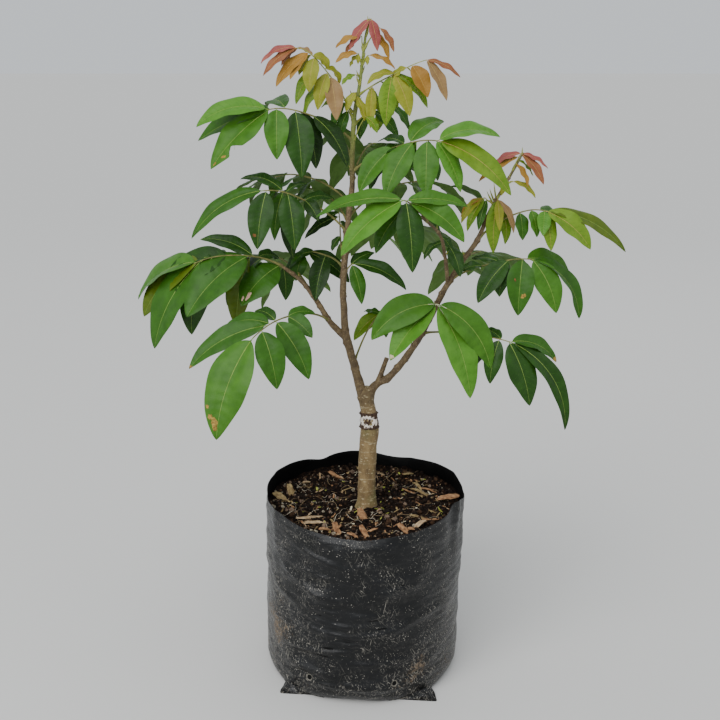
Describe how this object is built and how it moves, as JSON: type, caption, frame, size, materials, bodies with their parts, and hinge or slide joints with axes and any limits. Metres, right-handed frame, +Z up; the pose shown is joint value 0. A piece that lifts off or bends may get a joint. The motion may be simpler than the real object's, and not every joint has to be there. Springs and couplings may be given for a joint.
{
  "type": "longan sapling",
  "caption": "Grafted longan sapling with a drooping crown of compound leaves, growing in a round black film nursery bag of potting mix.",
  "frame": {"origin": "centre of the bag's flat underside, which stands on the ground", "axes": "+Z up along the trunk, +X to the viewer's right, -Y the front"},
  "size_m": [0.5824, 0.377, 0.8072],
  "materials": {
    "bag_film": "satin",
    "potting_mix": "matte",
    "bark": "matte",
    "brown_wood": "matte",
    "graft_callus": "matte",
    "leaf_mature": "satin",
    "leaf_young": "satin"
  },
  "bodies": {
    "root": {"nursery_bag": "bag_film", "bag_corner_left": "bag_film", "bag_corner_right": "bag_film", "potting_mix": "potting_mix", "trunk": "bark", "graft_collar": "graft_callus", "leader": "brown_wood", "bough_left": "brown_wood", "bough_right": "brown_wood", "pruned_stub": "brown_wood", "twig_centre": "brown_wood", "foliage_top_flush": "leaf_young", "foliage_young_left": "leaf_young", "foliage_young_right": "leaf_young", "foliage_upper_shoot": "leaf_young", "foliage_left_high": "leaf_mature", "foliage_right_high": "leaf_mature", "foliage_left_middle": "leaf_mature", "foliage_centre_front": "leaf_mature", "foliage_centre": "leaf_mature", "foliage_left_far": "leaf_mature", "foliage_left_low": "leaf_mature", "foliage_bough_front": "leaf_mature", "foliage_right_low": "leaf_mature", "foliage_right_middle": "leaf_mature", "foliage_right_far": "leaf_mature", "foliage_right_flush": "leaf_young", "foliage_right_shoot": "leaf_young", "foliage_back_high": "leaf_mature", "foliage_back_left": "leaf_mature", "foliage_back_right": "leaf_mature", "foliage_back_low": "leaf_mature", "foliage_back_left_low": "leaf_mature", "foliage_back_right_low": "leaf_mature"}
  },
  "joints": []
}
